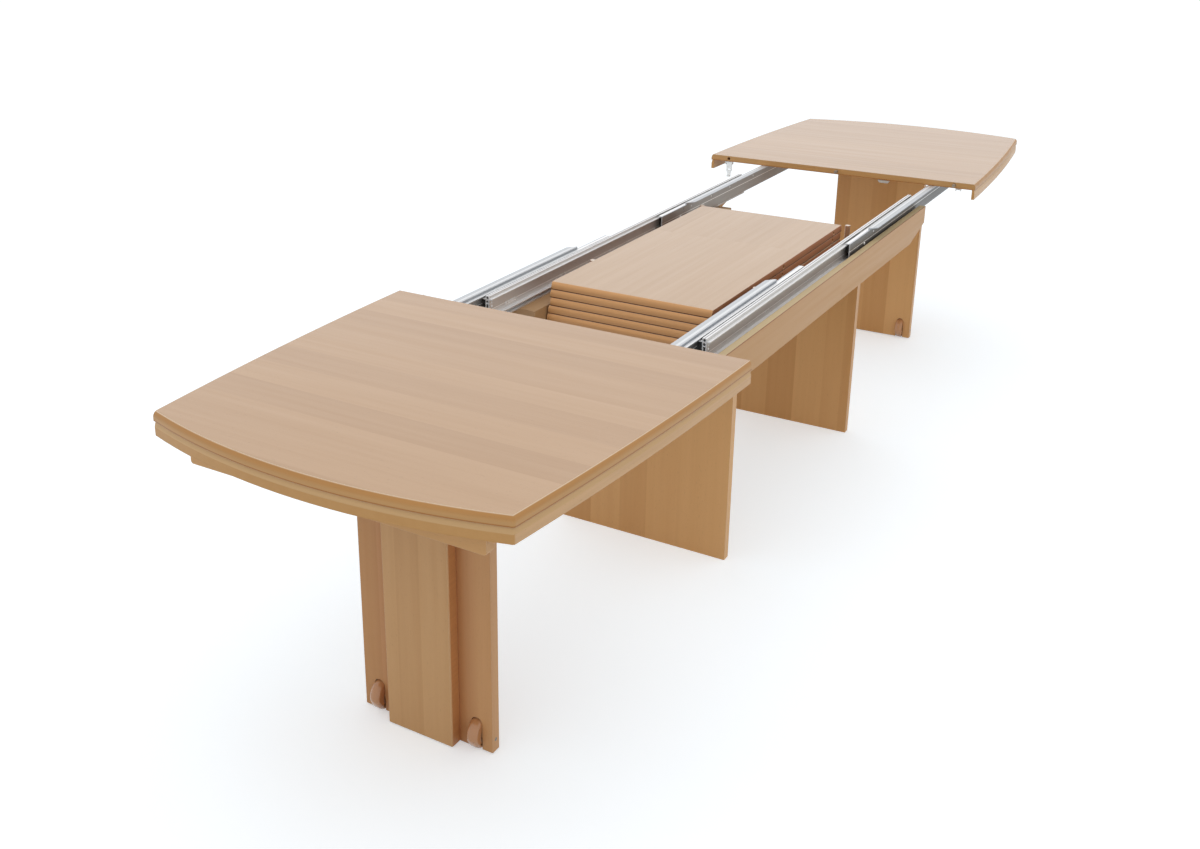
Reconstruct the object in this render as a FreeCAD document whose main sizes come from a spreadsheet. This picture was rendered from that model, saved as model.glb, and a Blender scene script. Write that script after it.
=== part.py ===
import FreeCAD, Part
import os
import re

import Sketcher
from FreeCAD import Placement, Rotation, Vector

# Extending table in millimetres. X runs along the table, Y across it, Z up from the floor.
# The far half is drawn at +X; the near half is the same half turned 180 degrees about Z.
SIZES = {
    "table_height": 750,
    "top_thickness": 20,
    "half_gap": 928,
    "half_length": 845,
    "inner_width": 926,
    "end_width": 820,
    "side_bow": 10,
    "end_bow": 60,
    "corner_round": 8,
    "nose_inset": 6.5,
    "nose_drop": 15,
    "nose_bow": 2,
    "lip_depth": 31,
    "lip_recess": 1,
    "lip_thickness": 9,
    "lip_square": 18,
    "lip_shoulder": 3,
    "cross_rail_inset": 48,
    "cross_rail_thickness": 24,
    "cross_rail_margin": 70,
    "cross_rail_depth": 82,
    "cross_rail_round": 6,
    "leg_inset": 320,
    "leg_thickness": 24,
    "leg_width": 330,
    "leg_clearance": 2.5,
    "pilaster_inset": 82,
    "pilaster_thickness": 27.5,
    "pilaster_chamfer": 2,
    "roller_inset": 39,
    "roller_diameter": 60,
    "roller_width": 24,
    "roller_round": 7,
    "hub_diameter": 18,
    "hub_recess": 3,
    "rim_width": 8,
    "slot_side_gap": 1.5,
    "slot_headroom": 16,
    "axle_diameter": 8,
    "axle_length": 67,
    "running_gap": 0.3,
    "buffer_length": 46,
    "buffer_height": 9.5,
    "buffer_bevel": 7,
    "buffer_thickness": 6,
    "buffer_offset": 13,
    "buffer_drop": 123.5,
    "frame_setback": 304,
    "frame_panel_thickness": 24,
    "frame_overlap": 20,
    "shelf_thickness": 20,
    "bearer_near_setback": 127,
    "bearer_far_setback": 224,
    "rail_gap": 8.1,
    "rail_thickness": 20,
    "rail_drop": 38,
    "rail_height": 91,
    "rail_length": 1592,
    "rail_cut_length": 140,
    "rail_cut_height": 37,
    "peg_diameter": 15,
    "peg_height": 55,
    "peg_spacing": 708,
    "peg_inset": 0.5,
    "beam_inset": 64.4,
    "beam_setback": 7,
    "beam_gap": 6,
    "column_width": 11,
    "port_diameter": 6.5,
    "port_drop": 4.7,
    "port_pitch": 10,
    "foot_slot_width": 6,
    "foot_slot_height": 13,
    "foot_slot_drop": 21,
    "flange_reach": 14,
    "flange_drop": 7,
    "flange_thickness": 3,
    "groove_height": 39,
    "lower_flange_reach": 18,
    "foot_gap": 8,
    "base_thickness": 4,
    "channel_lead": 793,
    "channel_end_gap": 11,
    "channel_wall": 3,
    "channel_inner": 10.6,
    "channel_reach": 24.5,
    "channel_drop": 6,
    "channel_arm": 19,
    "channel_step": 7.4,
    "riser_inset": 20.4,
    "channel_top_gap": 0.6,
    "mount_flange_width": 18.5,
    "mount_flange_setback": 170,
    "mount_flange_bevel": 22,
    "mount_seat_inset": 12,
    "notch_setback": 148,
    "notch_width": 3,
    "notch_depth": 15,
    "shoe_inset": 20,
    "shoe_length": 120,
    "shoe_foot": 24,
    "guide_inset": 9,
    "guide_length": 40,
    "pin_diameter": 10,
    "pin_depth": 25,
    "pin_reach": 15,
    "pin_inset": 67,
    "leaf_overhang": 2,
    "leaf_width": 448,
    "leaf_thickness": 20,
    "stack_clearance": 4,
    "stack_headroom": 10,
    "stack_end_gap": 19,
    "stack_slip": 5.5,
    "stray_leaf_offset": 3,
    "latch_setback": 30,
    "latch_share": 0.64,
    "latch_plate_thickness": 2.5,
    "latch_plate_length": 36,
    "latch_plate_width": 34,
    "latch_ear_gap": 21,
    "latch_ear_thickness": 2.2,
    "latch_ear_width": 14,
    "latch_ear_depth": 14,
    "latch_pin_diameter": 5,
    "latch_pin_drop": 10,
    "latch_lever_length": 51,
    "latch_lever_thickness": 4.4,
    "latch_tip_length": 12,
    "latch_tip_width": 11.6,
    "latch_taper": 9,
    "latch_window_width": 12,
    "latch_window_height": 5,
    "latch_window_gap": 2,
    "latch_eye_diameter": 11,
    "latch_toe": 4.8,
    "keeper_setback": 11.5,
    "keeper_ear_gap": 13,
    "keeper_ear_thickness": 1.6,
    "keeper_ear_depth": 8.5,
    "keeper_bar_width": 3.5,
    "keeper_bar_drop": 7.2,
}
LEAF_COUNT = 5
X_AXIS = Vector(1, 0, 0)
Y_AXIS = Vector(0, 1, 0)
Z_AXIS = Vector(0, 0, 1)
TURN = {"far": 0, "near": 180, "left": 0, "right": 180}

UNDERSIDE = "(table_height - top_thickness)"
BEAM_TOP = f"({UNDERSIDE} - beam_gap)"
FLANGE_TOP = f"({BEAM_TOP} - flange_drop)"
FLANGE_BOTTOM = f"({FLANGE_TOP} - flange_thickness)"
GROOVE_BOTTOM = f"({FLANGE_BOTTOM} - groove_height)"
BEARER_TOP = f"({GROOVE_BOTTOM} - flange_thickness - foot_gap - base_thickness)"
CHANNEL_TOP = f"({UNDERSIDE} - channel_top_gap)"
HOOK_TOP = f"({CHANNEL_TOP} - channel_step)"
CHANNEL_BOTTOM = f"({GROOVE_BOTTOM} - channel_drop)"
SHELF_TOP = f"({UNDERSIDE} - stack_headroom - {LEAF_COUNT} * leaf_thickness)"
FRAME_TOP = f"({SHELF_TOP} - shelf_thickness)"
PLATE_BOTTOM = f"({UNDERSIDE} - latch_plate_thickness)"
LATCH_PIN_Z = f"({UNDERSIDE} - latch_pin_drop)"
BEARER_Y = "(leaf_width / 2 + stack_clearance)"
BEAM_Y = f"({BEARER_Y} + beam_inset)"
RAIL_Y = f"({BEAM_Y} + channel_reach + rail_gap)"
MOUNT_Y = f"({BEAM_Y} + channel_reach + mount_flange_width)"
LATCH_ROOM = f"(inner_width / 2 - lip_recess - lip_thickness - {MOUNT_Y} - latch_plate_width)"
LATCH_Y = f"({MOUNT_Y} + latch_plate_width / 2 + {LATCH_ROOM} * latch_share)"
PIN_Y = "(inner_width / 2 - pin_inset)"
ROLLER_Y = "(leg_width / 2 - roller_inset)"
SLOT_WIDTH = "(roller_width + 2 * slot_side_gap)"
HALF_END = "(half_gap + half_length)"
CROSS_RAIL_X = f"({HALF_END} - cross_rail_inset)"
LEG_X = f"({HALF_END} - leg_inset)"
AXLE_X = f"({LEG_X} + leg_thickness / 2)"
CHANNEL_START = "(half_gap - channel_lead)"
CHANNEL_END = f"({CROSS_RAIL_X} - channel_end_gap)"
LATCH_X = "(half_gap + latch_setback)"
KEEPER_X = "(half_gap + keeper_setback)"
BEAM_END = "(rail_length / 2 - beam_setback)"
BEARER_NEAR = "(rail_length / 2 - bearer_near_setback)"
BEARER_FAR = "(rail_length / 2 - bearer_far_setback)"
FRAME_X = "(rail_length / 2 - frame_setback)"
LEAF_END = "(inner_width / 2 + leaf_overhang)"

doc = FreeCAD.newDocument("extending_table")
dims = doc.addObject("Spreadsheet::Sheet", "dims")
for row, (name, value) in enumerate(SIZES.items(), 1):
    dims.set(f"A{row}", name)
    dims.set(f"B{row}", str(value))
    dims.setAlias(f"B{row}", name)
doc.recompute()
parts = []


def tie(text):
    """Point every size name in a formula at its cell."""
    def cell(word):
        name = word.group()
        return "dims." + name if name in SIZES else name

    return re.sub(r"[a-z_]+", cell, text)


def size(text):
    """Present value of a formula."""
    return float(dims.evalExpression(tie(text)))


def bind(item, **formulas):
    for prop, text in formulas.items():
        item.setExpression(prop, tie(text))


def place(item, side, x="0", y="0", z="0"):
    """Set an object down at a far or left position, or at the matching near or right one."""
    angle = TURN[side]
    item.Placement = Placement(Vector(), Rotation(Vector(0, 0, 1), angle))
    sign = "-" if angle else ""
    item.setExpression("Placement.Base.x", tie(f"{sign}({x})"))
    item.setExpression("Placement.Base.y", tie(f"{sign}({y})"))
    item.setExpression("Placement.Base.z", tie(z))


def new_body(label):
    body = doc.addObject("PartDesign::Body", label)
    body.Label = label
    parts.append(body)
    return body


def new_sketch(body, role, start):
    """Sketch on an origin plane of the body, moved along its normal."""
    sketch = body.newObject("Sketcher::SketchObject", body.Name + "_sketch")
    plane = next(item for item in body.Origin.OriginFeatures if item.Role == role)
    sketch.AttachmentSupport = [(plane, "")]
    sketch.MapMode = "FlatFace"
    sketch.setExpression("AttachmentOffset.Base.z", tie(start))
    return sketch


def constrain(sketch, constraint, text):
    index = sketch.addConstraint(constraint)
    sketch.setExpression(f"Constraints[{index}]", tie(text))


def add_loop(sketch, corners, bows=None):
    """Closed outline through corner formulas; a bow swells a segment to the right of its travel."""
    bows = bows or {}
    first = sketch.GeometryCount
    count = len(corners)
    points = [Vector(size(x), size(y), 0) for x, y in corners]
    heads = []
    for index, start in enumerate(points):
        end = points[(index + 1) % count]
        head = 1
        if index in bows:
            chord = end - start
            bow = size(bows[index])
            middle = (start + end) * 0.5 + Vector(chord.y, -chord.x, 0).normalize() * bow
            sketch.addGeometry(Part.Arc(start, middle, end))
            head = 1 if bow > 0 else 2
        else:
            sketch.addGeometry(Part.LineSegment(start, end))
        heads.append(head)
    for index in range(count):
        following = (index + 1) % count
        joint = (first + index, 3 - heads[index], first + following, heads[following])
        sketch.addConstraint(Sketcher.Constraint("Coincident", *joint))
    for index, (x, y) in enumerate(corners):
        point = (first + index, heads[index])
        constrain(sketch, Sketcher.Constraint("DistanceX", -1, 1, *point, size(x)), x)
        constrain(sketch, Sketcher.Constraint("DistanceY", -1, 1, *point, size(y)), y)
    for index, bow in bows.items():
        (x1, y1), (x2, y2) = corners[index], corners[(index + 1) % count]
        radius = f"((({x2}) - ({x1}))^2 + (({y2}) - ({y1}))^2) / (8 * abs({bow})) + abs({bow}) / 2"
        constrain(sketch, Sketcher.Constraint("Radius", first + index, size(radius)), radius)


def add_circle(sketch, x, y, diameter):
    centre = Vector(size(x), size(y), 0)
    circle = sketch.addGeometry(Part.Circle(centre, Z_AXIS, size(diameter) / 2))
    constrain(sketch, Sketcher.Constraint("DistanceX", -1, 1, circle, 3, size(x)), x)
    constrain(sketch, Sketcher.Constraint("DistanceY", -1, 1, circle, 3, size(y)), y)
    constrain(sketch, Sketcher.Constraint("Diameter", circle, size(diameter)), diameter)


def extrude(body, sketch, length, kind="Pad", reverse=False):
    """Pad along the sketch normal, or pocket against it unless reversed."""
    feature = body.newObject("PartDesign::" + kind, body.Name + "_" + kind.lower())
    feature.Profile = sketch
    feature.Reversed = reverse
    feature.setExpression("Length", tie(length))
    sketch.Visibility = False
    doc.recompute()
    return feature


def board(label, side, role, corners, start, length, bows=None):
    """Body of one padded outline."""
    body = new_body(label)
    sketch = new_sketch(body, role, start)
    add_loop(sketch, corners, bows)
    extrude(body, sketch, length)
    place(body, side)
    return body


def box(x1, x2, y1, y2):
    return [(x1, y1), (x2, y1), (x2, y2), (x1, y2)]


def drill(body, role, start, depth, holes, reverse):
    """Blind round holes given as centre and diameter formulas."""
    sketch = new_sketch(body, role, start)
    for hole in holes:
        add_circle(sketch, *hole)
    extrude(body, sketch, depth, "Pocket", reverse)


def dress(body, kind, wanted, **formulas):
    """Fillet or chamfer every edge of the body's last shape that passes the test."""
    tip = body.Tip
    names = [f"Edge{number}" for number, edge in enumerate(tip.Shape.Edges, 1) if wanted(tip.Shape, edge)]
    feature = body.newObject("PartDesign::" + kind, body.Name + "_" + kind.lower())
    feature.Base = (tip, names)
    for prop, text in formulas.items():
        feature.setExpression(prop, tie(text))
    doc.recompute()
    return feature


def loft(body, levels, outline, bows):
    """Blend level outlines, each given by an inset and a height."""
    sections = []
    for inset, level in levels:
        sketch = new_sketch(body, "XY_Plane", level)
        add_loop(sketch, outline(inset), bows(inset))
        sketch.Visibility = False
        sections.append(sketch)
    feature = body.newObject("PartDesign::AdditiveLoft", body.Name + "_loft")
    feature.Profile = sections[0]
    feature.Sections = sections[1:]
    doc.recompute()


def rod(label, side, diameter, length, x, y, z, axis):
    """Round bar from a centre point along an axis."""
    item = doc.addObject("Part::Cylinder", label)
    item.Label = label
    bind(item, Radius=f"({diameter}) / 2", Height=length)
    place(item, side, x, y, z)
    item.Placement.Rotation = item.Placement.Rotation.multiply(Rotation(Vector(0, 0, 1), axis))
    parts.append(item)
    return item


def half_outline(inset):
    """Plan of a half top drawn inwards by an inset: side, corner, end, corner and side."""
    inner_y = f"inner_width / 2 - ({inset})"
    side_y = f"end_width / 2 - ({inset})"
    end_x = f"{HALF_END} - ({inset})"
    turn_x = f"{HALF_END} - corner_round"
    turn_y = "end_width / 2 - corner_round"
    return [
        ("half_gap", f"-({inner_y})"),
        (turn_x, f"-({side_y})"),
        (end_x, f"-({turn_y})"),
        (end_x, turn_y),
        (turn_x, side_y),
        ("half_gap", inner_y),
    ]


def half_bows(inset):
    corner = f"(corner_round - ({inset})) * (1 - 1 / sqrt(2))"
    return {0: "side_bow", 1: corner, 2: "end_bow", 3: corner, 4: "side_bow"}


def lip_outline(inset):
    """Plan of the edging strip with its outer sides drawn inwards by an inset."""
    inner_y = "inner_width / 2 - lip_recess - lip_thickness"
    corner_x = f"{HALF_END} - lip_recess - lip_thickness"
    corner_y = "end_width / 2 - lip_recess - lip_thickness"
    return half_outline(inset) + [
        ("half_gap", inner_y),
        (corner_x, corner_y),
        (corner_x, f"-({corner_y})"),
        ("half_gap", f"-({inner_y})"),
    ]


def lip_bows(inset):
    return half_bows(inset) | {6: "-side_bow", 7: "-end_bow", 8: "-side_bow"}


def make_top(side):
    """Panel with a square lower edge and a rounded nose above it on the three outer sides."""
    square = "top_thickness - nose_drop"
    body = board(f"{side}_top", side, "XY_Plane", half_outline("0"), UNDERSIDE, square, half_bows("0"))
    slant = "sqrt(nose_inset^2 + nose_drop^2)"
    nose = [
        ("0", f"{UNDERSIDE} + {square}"),
        (f"nose_inset / 2 - nose_bow * nose_drop / {slant}",
         f"table_height - nose_drop / 2 + nose_bow * nose_inset / {slant}"),
        ("nose_inset", "table_height"),
    ]
    loft(body, nose, half_outline, half_bows)
    level = f"{UNDERSIDE} + top_thickness / 2"
    bore = "pin_diameter + 2 * running_gap"
    holes = [(y, level, bore) for y in (PIN_Y, "0", f"-{PIN_Y}")]
    drill(body, "YZ_Plane", "half_gap", "pin_depth", holes, True)


def make_lip(side):
    """Edging strip under the three outer sides, leaning in above its square lower part."""
    bottom = f"{UNDERSIDE} - lip_depth"
    outline = lip_outline("lip_recess")
    body = board(f"{side}_lip", side, "XY_Plane", outline, bottom, "lip_square", lip_bows("lip_recess"))
    lean = [("lip_recess", f"{bottom} + lip_square"), ("lip_recess + lip_shoulder", UNDERSIDE)]
    loft(body, lean, lip_outline, lip_bows)


def make_cross_rail(side):
    half = "(end_width / 2 - cross_rail_margin)"
    bottom = f"{UNDERSIDE} - cross_rail_depth"
    corners = [
        (f"-({half} - cross_rail_round)", bottom),
        (f"{half} - cross_rail_round", bottom),
        (half, f"{bottom} + cross_rail_round"),
        (half, UNDERSIDE),
        (f"-{half}", UNDERSIDE),
        (f"-{half}", f"{bottom} + cross_rail_round"),
    ]
    swell = "cross_rail_round * (1 - 1 / sqrt(2))"
    rounds = {1: swell, 5: swell}
    board(f"{side}_cross_rail", side, "YZ_Plane", corners, CROSS_RAIL_X, "cross_rail_thickness", rounds)


def make_leg(side):
    arch = f"{SLOT_WIDTH} * 4 / 9"
    shoulder = f"roller_diameter + slot_headroom - {arch}"
    corners = [("-leg_width / 2", "leg_clearance")]
    bows = {}
    for centre in (f"-{ROLLER_Y}", ROLLER_Y):
        bows[len(corners) + 1] = f"-{arch}"
        corners += [
            (f"{centre} - {SLOT_WIDTH} / 2", "leg_clearance"),
            (f"{centre} - {SLOT_WIDTH} / 2", shoulder),
            (f"{centre} + {SLOT_WIDTH} / 2", shoulder),
            (f"{centre} + {SLOT_WIDTH} / 2", "leg_clearance"),
        ]
    corners += [
        ("leg_width / 2", "leg_clearance"),
        ("leg_width / 2", UNDERSIDE),
        ("-leg_width / 2", UNDERSIDE),
    ]
    body = board(f"{side}_leg_panel", side, "YZ_Plane", corners, LEG_X, "leg_thickness", bows)
    bore = (AXLE_X, "roller_diameter / 2", "axle_diameter + 2 * running_gap")
    drill(body, "XZ_Plane", "-leg_width / 2", "axle_length", [bore], True)
    drill(body, "XZ_Plane", "leg_width / 2", "axle_length", [bore], False)


def make_pilaster(side):
    front = f"{LEG_X} + leg_thickness"
    half = "(leg_width / 2 - pilaster_inset)"
    corners = box(front, f"{front} + pilaster_thickness", f"-{half}", half)
    height = f"{UNDERSIDE} - leg_clearance"
    body = board(f"{side}_leg_pilaster", side, "XY_Plane", corners, "leg_clearance", height)
    face = size(f"{front} + pilaster_thickness")

    def front_upright(shape, edge):
        points = [vertex.Point for vertex in edge.Vertexes]
        return all(abs(point.x - face) < 1e-4 for point in points) and abs(points[0].y - points[1].y) < 1e-4

    dress(body, "Chamfer", front_upright, Size="pilaster_chamfer")


def make_rollers(side):
    rim = "roller_diameter / 2"
    wall = "roller_width / 2"
    hub = f"{SLOT_WIDTH} / 2 - running_gap"
    bore = "axle_diameter / 2 + running_gap"
    web = "roller_width / 2 - hub_recess"
    profile = [
        (bore, f"-({hub})"),
        ("hub_diameter / 2", f"-({hub})"),
        ("hub_diameter / 2", f"-({web})"),
        (f"{rim} - rim_width", f"-({web})"),
        (f"{rim} - rim_width", f"-({wall})"),
        (f"{rim} - roller_round", f"-({wall})"),
        (rim, f"-({wall} - roller_round)"),
        (rim, f"{wall} - roller_round"),
        (f"{rim} - roller_round", wall),
        (f"{rim} - rim_width", wall),
        (f"{rim} - rim_width", web),
        ("hub_diameter / 2", web),
        ("hub_diameter / 2", hub),
        (bore, hub),
    ]
    bows = {5: "roller_round * (1 - 1 / sqrt(2))", 7: "roller_round * (1 - 1 / sqrt(2))"}
    for hand, sign in (("left", 1), ("right", -1)):
        across = sign if side == "far" else -sign
        body = new_body(f"{side}_{hand}_roller")
        sketch = new_sketch(body, "XY_Plane", "0")
        add_loop(sketch, profile, bows)
        wheel = body.newObject("PartDesign::Revolution", body.Name + "_revolution")
        wheel.Profile = sketch
        wheel.ReferenceAxis = (sketch, ["V_Axis"])
        wheel.Angle = 360
        place(body, side, AXLE_X, f"{across} * {ROLLER_Y}", rim)
        start = "leg_width / 2 - axle_length" if across > 0 else "-leg_width / 2"
        rod(f"{side}_{hand}_axle", side, "axle_diameter", "axle_length", AXLE_X, start, rim, Y_AXIS)


def make_buffer(side):
    top = f"{UNDERSIDE} - buffer_drop"
    bottom = f"{top} - buffer_height"
    corners = [
        ("-buffer_offset - buffer_length / 2 + buffer_bevel", bottom),
        ("-buffer_offset + buffer_length / 2 - buffer_bevel", bottom),
        ("-buffer_offset + buffer_length / 2", top),
        ("-buffer_offset - buffer_length / 2", top),
    ]
    board(f"{side}_buffer", side, "YZ_Plane", corners, f"{LEG_X} - buffer_thickness", "buffer_thickness")


def across_beam(centre, offset):
    """Position across the table at an offset from a beam's centre line towards the sliding channel."""
    return f"({centre}) - ({offset})"


def profile_at(centre, points):
    return [(across_beam(centre, offset), height) for offset, height in points]


def make_slides(side):
    inner_wall = "channel_reach - channel_wall"
    hook_bottom = f"{HOOK_TOP} - channel_wall"
    channel = [
        ("channel_inner", HOOK_TOP),
        ("channel_inner", hook_bottom),
        (inner_wall, hook_bottom),
        (inner_wall, f"{CHANNEL_BOTTOM} + channel_wall"),
        ("channel_arm", f"{CHANNEL_BOTTOM} + channel_wall"),
        ("channel_arm", CHANNEL_BOTTOM),
        ("channel_reach", CHANNEL_BOTTOM),
        ("channel_reach", HOOK_TOP),
    ]
    shoe = [
        ("column_width / 2 + running_gap", hook_bottom),
        ("column_width / 2 + running_gap", f"{FLANGE_TOP} + running_gap"),
        ("flange_reach + running_gap", f"{FLANGE_TOP} + running_gap"),
        ("flange_reach + running_gap", f"{FLANGE_BOTTOM} - running_gap"),
        ("column_width / 2 + running_gap", f"{FLANGE_BOTTOM} - running_gap"),
        ("column_width / 2 + running_gap", f"{FLANGE_BOTTOM} - shoe_foot"),
        (inner_wall, f"{FLANGE_BOTTOM} - shoe_foot"),
        (inner_wall, hook_bottom),
    ]
    bevel_start = f"{CHANNEL_START} + mount_flange_setback"
    notch_start = f"{CHANNEL_START} + notch_setback"
    for hand, centre in (("left", BEAM_Y), ("right", f"-{BEAM_Y}")):
        if side == "near":
            centre = f"-({centre})"
        body = board(f"{side}_{hand}_channel", side, "YZ_Plane", profile_at(centre, channel),
                     CHANNEL_START, f"{CHANNEL_END} - {CHANNEL_START}")
        edge = across_beam(centre, "channel_reach + mount_flange_width")
        wall = across_beam(centre, "channel_reach")
        riser = new_sketch(body, "XY_Plane", HOOK_TOP)
        rib = across_beam(centre, "riser_inset")
        add_loop(riser, box(bevel_start, CHANNEL_END, wall, rib))
        extrude(body, riser, "channel_step")
        flange = new_sketch(body, "XY_Plane", f"{CHANNEL_TOP} - channel_wall")
        add_loop(flange, [(bevel_start, wall), (f"{bevel_start} + mount_flange_bevel", edge),
                          (CHANNEL_END, edge), (CHANNEL_END, wall)])
        extrude(body, flange, "channel_wall")
        seat = new_sketch(body, "XY_Plane", CHANNEL_TOP)
        add_loop(seat, box("half_gap + mount_seat_inset", CHANNEL_END, edge, rib))
        extrude(body, seat, "channel_top_gap")
        notch = new_sketch(body, "XY_Plane", HOOK_TOP)
        add_loop(notch, box(notch_start, f"{notch_start} + notch_width", wall, across_beam(centre, inner_wall)))
        extrude(body, notch, "notch_depth", "Pocket")
        board(f"{side}_{hand}_shoe", side, "YZ_Plane", profile_at(centre, shoe),
              f"{CHANNEL_START} + shoe_inset", "shoe_length")


def make_guides(side):
    face = "column_width / 2"
    reach = "channel_reach - channel_wall - running_gap"
    top = f"{HOOK_TOP} - channel_wall - running_gap"
    bottom = f"{CHANNEL_BOTTOM} + channel_wall + running_gap"
    skirt = "lower_flange_reach + running_gap"
    guide = [
        (face, top),
        (face, FLANGE_TOP),
        ("flange_reach", FLANGE_TOP),
        ("flange_reach", FLANGE_BOTTOM),
        (face, FLANGE_BOTTOM),
        (face, GROOVE_BOTTOM),
        (skirt, GROOVE_BOTTOM),
        (skirt, bottom),
        (reach, bottom),
        (reach, top),
    ]
    start = f"{BEAM_END} - guide_inset - guide_length"
    for hand, centre in (("left", BEAM_Y), ("right", f"-{BEAM_Y}")):
        if side == "near":
            centre = f"-({centre})"
        board(f"{side}_{hand}_guide", side, "YZ_Plane", profile_at(centre, guide), start, "guide_length")


def make_beam(side):
    levels = [
        ("column_width / 2", BEAM_TOP),
        ("column_width / 2", FLANGE_TOP),
        ("flange_reach", FLANGE_TOP),
        ("flange_reach", FLANGE_BOTTOM),
        ("column_width / 2", FLANGE_BOTTOM),
        ("column_width / 2", GROOVE_BOTTOM),
        ("lower_flange_reach", GROOVE_BOTTOM),
        ("lower_flange_reach", f"{GROOVE_BOTTOM} - flange_thickness"),
        ("column_width / 2", f"{GROOVE_BOTTOM} - flange_thickness"),
        ("column_width / 2", f"{BEARER_TOP} + base_thickness"),
        ("lower_flange_reach", f"{BEARER_TOP} + base_thickness"),
        ("lower_flange_reach", BEARER_TOP),
    ]
    corners = [(f"{BEAM_Y} + {offset}", height) for offset, height in levels]
    corners += [(f"{BEAM_Y} - {offset}", height) for offset, height in reversed(levels)]
    body = new_body(f"{side}_beam")
    sketch = new_sketch(body, "YZ_Plane", f"-{BEAM_END}")
    add_loop(sketch, corners)
    for drop in ("port_drop", "port_drop + port_pitch"):
        add_circle(sketch, BEAM_Y, f"{BEAM_TOP} - ({drop})", "port_diameter")
    slot_top = f"{BEAM_TOP} - foot_slot_drop"
    add_loop(sketch, box(f"{BEAM_Y} - foot_slot_width / 2", f"{BEAM_Y} + foot_slot_width / 2",
                         f"{slot_top} - foot_slot_height", slot_top))
    extrude(body, sketch, f"2 * {BEAM_END}")
    place(body, side)


def make_frame():
    half = f"({BEARER_Y} + frame_overlap)"
    for side in ("near", "far"):
        panel = box(f"-{half}", half, "0", FRAME_TOP)
        board(f"{side}_frame_panel", side, "YZ_Plane", panel,
              f"{FRAME_X} - frame_panel_thickness", "frame_panel_thickness")
    shelf = box(f"-{FRAME_X}", FRAME_X, f"-{BEARER_Y}", BEARER_Y)
    board("storage_shelf", "far", "XY_Plane", shelf, FRAME_TOP, "shelf_thickness")
    rail_top = f"{UNDERSIDE} - rail_drop"
    rail_bottom = f"{UNDERSIDE} - rail_drop - rail_height"
    rail = [
        ("-rail_length / 2 + rail_cut_length", rail_bottom),
        ("rail_length / 2 - rail_cut_length", rail_bottom),
        ("rail_length / 2", f"{rail_bottom} + rail_cut_height"),
        ("rail_length / 2", rail_top),
        ("-rail_length / 2", rail_top),
        ("-rail_length / 2", f"{rail_bottom} + rail_cut_height"),
    ]
    peg_y = f"{BEARER_Y} + peg_inset + peg_diameter / 2"
    for side in ("left", "right"):
        ends = (BEARER_NEAR, BEARER_FAR) if side == "left" else (BEARER_FAR, BEARER_NEAR)
        bearer = box(f"-{ends[0]}", ends[1], BEARER_Y, RAIL_Y)
        board(f"{side}_bearer", side, "XY_Plane", bearer, FRAME_TOP, f"{BEARER_TOP} - {FRAME_TOP}")
        board(f"{side}_rail", side, "XZ_Plane", rail, f"-({RAIL_Y} + rail_thickness)", "rail_thickness")
        make_beam(side)
        for end, along in (("near", "-peg_spacing / 2"), ("far", "peg_spacing / 2")):
            if side == "right":
                along = f"-({along})"
            rod(f"{end}_{side}_peg", side, "peg_diameter", "peg_height", along, peg_y, BEARER_TOP, Z_AXIS)


def make_pins():
    level = f"{UNDERSIDE} + top_thickness / 2"
    length = "pin_depth + pin_reach"
    start = "half_gap - pin_reach"
    for label, side, across in (("far_centre_pin", "far", "0"), ("far_side_pin", "far", f"-{PIN_Y}"),
                                ("near_side_pin", "near", f"-{PIN_Y}")):
        rod(label, side, "pin_diameter", length, start, across, level, X_AXIS)


def make_leaves():
    for number in range(1, LEAF_COUNT + 1):
        base = f"({SHELF_TOP} + {LEAF_COUNT - number} * leaf_thickness)"
        square = f"{base} + leaf_thickness - nose_drop"
        profile = [
            (f"-{LEAF_END}", base),
            (LEAF_END, base),
            (LEAF_END, square),
            (f"{LEAF_END} - nose_inset", f"{base} + leaf_thickness"),
            (f"-({LEAF_END} - nose_inset)", f"{base} + leaf_thickness"),
            (f"-{LEAF_END}", square),
        ]
        body = board(f"leaf_{number}", "far", "XZ_Plane", profile, "-leaf_width / 2", "leaf_width",
                     {2: "nose_bow", 4: "nose_bow"})
        level = f"{base} + leaf_thickness / 2"
        bore = "pin_diameter + 2 * running_gap"
        holes = [("0", level, bore), (PIN_Y, level, bore)]
        drill(body, "XZ_Plane", "leaf_width / 2", "pin_depth", holes, False)
        across = "-stray_leaf_offset" if number == 3 else "0"
        along = f"peg_spacing / 2 - stack_end_gap - {LEAF_END} - {number - 1} * stack_slip"
        place(body, "far", along, across)


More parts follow.
